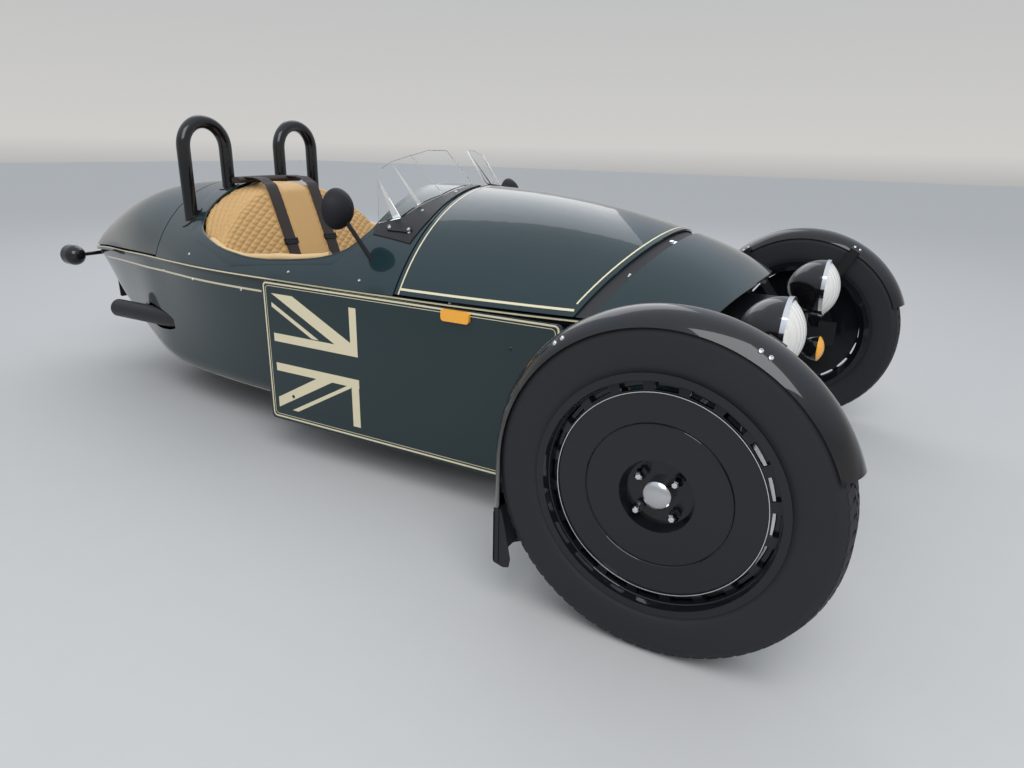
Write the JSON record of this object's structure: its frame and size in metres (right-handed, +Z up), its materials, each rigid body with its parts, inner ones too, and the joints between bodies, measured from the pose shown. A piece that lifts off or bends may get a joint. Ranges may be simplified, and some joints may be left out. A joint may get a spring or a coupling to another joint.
{
  "type": "three wheeled car",
  "caption": "Open two-seat car with two covered wheels in front and one driven wheel in the tail, roll hoops and split windscreens.",
  "frame": {"origin": "The middle of the car's footprint on the ground.", "axes": "Z is up, Y runs along the car with the nose at minus Y, and X points to the driver's left."},
  "size_m": [1.85, 3.581, 1.132],
  "materials": {
    "body_gloss": "gloss",
    "black_gloss": "gloss",
    "black_satin": "satin",
    "dark_plastic": "matt",
    "tyre": "matt",
    "cast": "rough",
    "alloy": "satin",
    "steel": "brushed",
    "tan_leather": "satin",
    "webbing": "woven",
    "clear_glass": "clear",
    "amber_glass": "clear",
    "red_glass": "clear"
  },
  "bodies": {
    "chassis": {"tub": "body_gloss", "nose_cowl": "body_gloss", "cockpit_surround": "body_gloss", "belt_trim": "black_satin", "side_plate_left": "body_gloss", "side_plate_right": "body_gloss", "front_frame": "black_satin", "radiator": "alloy", "wishbones": "black_satin", "swing_arm": "black_satin", "rear_stand": "steel", "engine_block": "cast", "exhaust": "black_satin", "firewall": "alloy", "dashboard": "dark_plastic", "seat_cushion": "tan_leather", "seat_back": "tan_leather", "harness": "webbing", "roll_hoops": "black_gloss", "windscreens": "clear_glass", "screen_bases": "black_satin", "mirrors": "black_gloss", "headlamps": "black_gloss", "headlamp_lenses": "clear_glass", "amber_lenses": "amber_glass", "tail_lamps": "black_gloss", "tail_lenses": "red_glass", "plate_holder": "black_satin", "lid_ledges": "dark_plastic", "boot_tray": "dark_plastic", "side_linings": "tan_leather"},
    "bonnet": {"bonnet": "body_gloss"},
    "boot_lid": {"boot_lid": "body_gloss"},
    "steer_left": {"knuckle_left": "black_satin", "fender_left": "black_gloss"},
    "steer_right": {"knuckle_right": "black_satin", "fender_right": "black_gloss"},
    "wheel_left": {"front_rim_left": "black_gloss", "front_tyre_left": "tyre"},
    "wheel_right": {"front_rim_right": "black_gloss", "front_tyre_right": "tyre"},
    "rear_wheel": {"rear_rim": "black_gloss", "rear_tyre": "tyre"},
    "rack_bar": {"rack": "steel"},
    "steering_wheel": {"steering_wheel": "dark_plastic"}
  },
  "joints": [
    {"name": "bonnet_hinge", "type": "hinge", "parent": "chassis", "child": "bonnet", "pos_m": [0.541, -0.81, 0.606], "axis": [0, 1, 0], "range_deg": [0, 70]},
    {"name": "boot_hinge", "type": "hinge", "parent": "chassis", "child": "boot_lid", "pos_m": [0, 1.7605, 0.586], "axis": [-1, 0, 0], "range_deg": [0, 60]},
    {"name": "steer_left", "type": "hinge", "parent": "chassis", "child": "steer_left", "pos_m": [0.772, -1.4205, 0.37], "axis": [0, 0, 1], "range_deg": [-30, 30]},
    {"name": "steer_right", "type": "hinge", "parent": "chassis", "child": "steer_right", "pos_m": [-0.772, -1.4205, 0.37], "axis": [0, 0, 1], "range_deg": [-30, 30]},
    {"name": "wheel_left_spin", "type": "hinge", "parent": "steer_left", "child": "wheel_left", "pos_m": [0.862, -1.4205, 0.37], "axis": [1, 0, 0], "continuous": true},
    {"name": "wheel_right_spin", "type": "hinge", "parent": "steer_right", "child": "wheel_right", "pos_m": [-0.862, -1.4205, 0.37], "axis": [1, 0, 0], "continuous": true},
    {"name": "rear_wheel_spin", "type": "hinge", "parent": "chassis", "child": "rear_wheel", "pos_m": [0, 0.9695, 0.318], "axis": [1, 0, 0], "continuous": true},
    {"name": "steering_wheel_turn", "type": "hinge", "parent": "chassis", "child": "steering_wheel", "pos_m": [0.24, -0.1305, 0.69], "axis": [0, 0.9136, 0.4067], "range_deg": [-360, 360]},
    {"name": "rack_slide", "type": "slide", "parent": "chassis", "child": "rack_bar", "axis": [1, 0, 0], "range_m": [-0.056, 0.056]}
  ],
  "couplings": [
    {"joint": "steer_right", "follows": "steer_left", "ratio": 1},
    {"joint": "rack_slide", "follows": "steer_left", "m_per_rad": -0.105},
    {"joint": "steering_wheel_turn", "follows": "steer_left", "ratio": 12}
  ]
}
